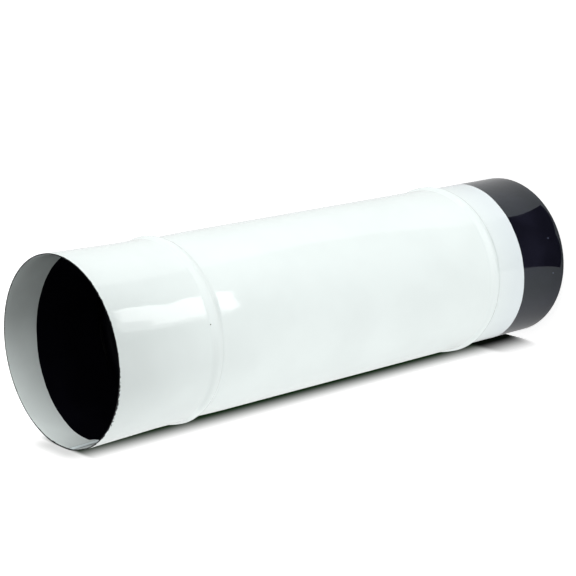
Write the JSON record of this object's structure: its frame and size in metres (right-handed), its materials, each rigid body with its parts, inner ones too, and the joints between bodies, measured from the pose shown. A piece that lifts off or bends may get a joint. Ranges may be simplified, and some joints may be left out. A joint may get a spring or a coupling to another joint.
{
  "type": "stove pipe",
  "caption": "Straight enamelled steel stove pipe with a flared bell socket, rolled beads and a plain black-enamelled spigot end",
  "frame": {"origin": "middle of the spigot's cut end, which the pipe stands on", "axes": "+Z along the pipe's axis from the spigot up to the mouth of the socket; the longitudinal seam lies near +Y"},
  "size_m": [0.1546, 0.1546, 0.516],
  "materials": {
    "white_enamel": "glossy white vitreous enamel on sheet steel, black ground coat in the bore and on the spigot's end"
  },
  "bodies": {
    "root": {"stove_pipe": "white_enamel"}
  },
  "joints": []
}
